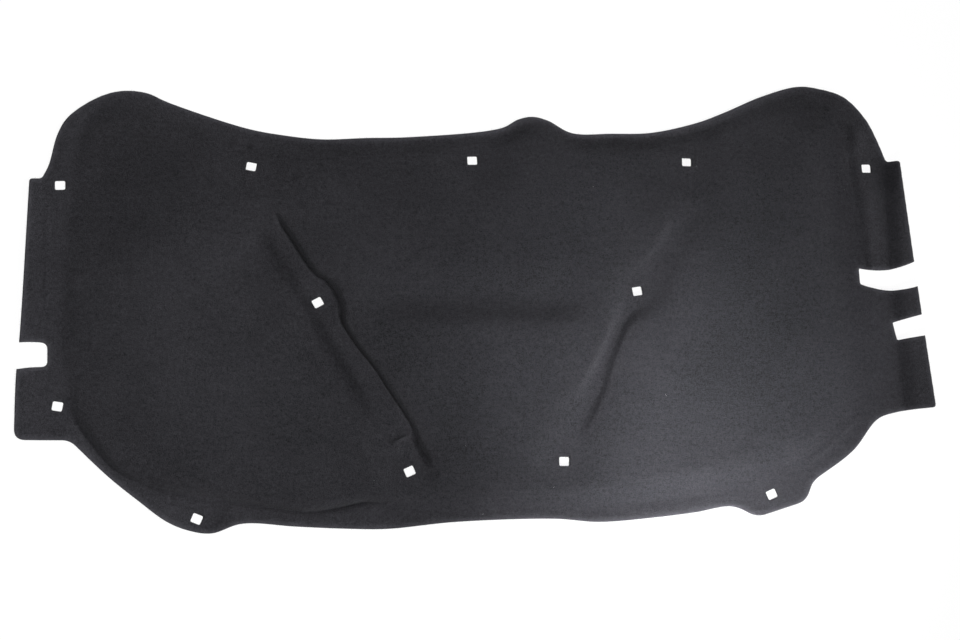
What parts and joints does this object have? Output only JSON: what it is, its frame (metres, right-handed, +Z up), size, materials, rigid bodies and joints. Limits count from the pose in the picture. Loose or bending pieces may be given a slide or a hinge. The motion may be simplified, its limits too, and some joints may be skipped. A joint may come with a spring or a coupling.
{
  "type": "hood insulation pad",
  "caption": "Moulded felt pad that lines the underside of a car's hood: a raised soft body with rib channels, pressed flat edges, square clip holes and notched side tabs.",
  "frame": {"origin": "on the table under the middle of the pad's outline", "axes": "+X along the pad's length, to its right-hand side seen from the engine; +Y to the windscreen edge; +Z up, out of the face that looks at the engine"},
  "size_m": [1.19, 0.583, 0.0135],
  "materials": {
    "felt": "matt needled felt with a fine fibre nap"
  },
  "bodies": {
    "root": {"insulation_pad": "felt"}
  },
  "joints": []
}
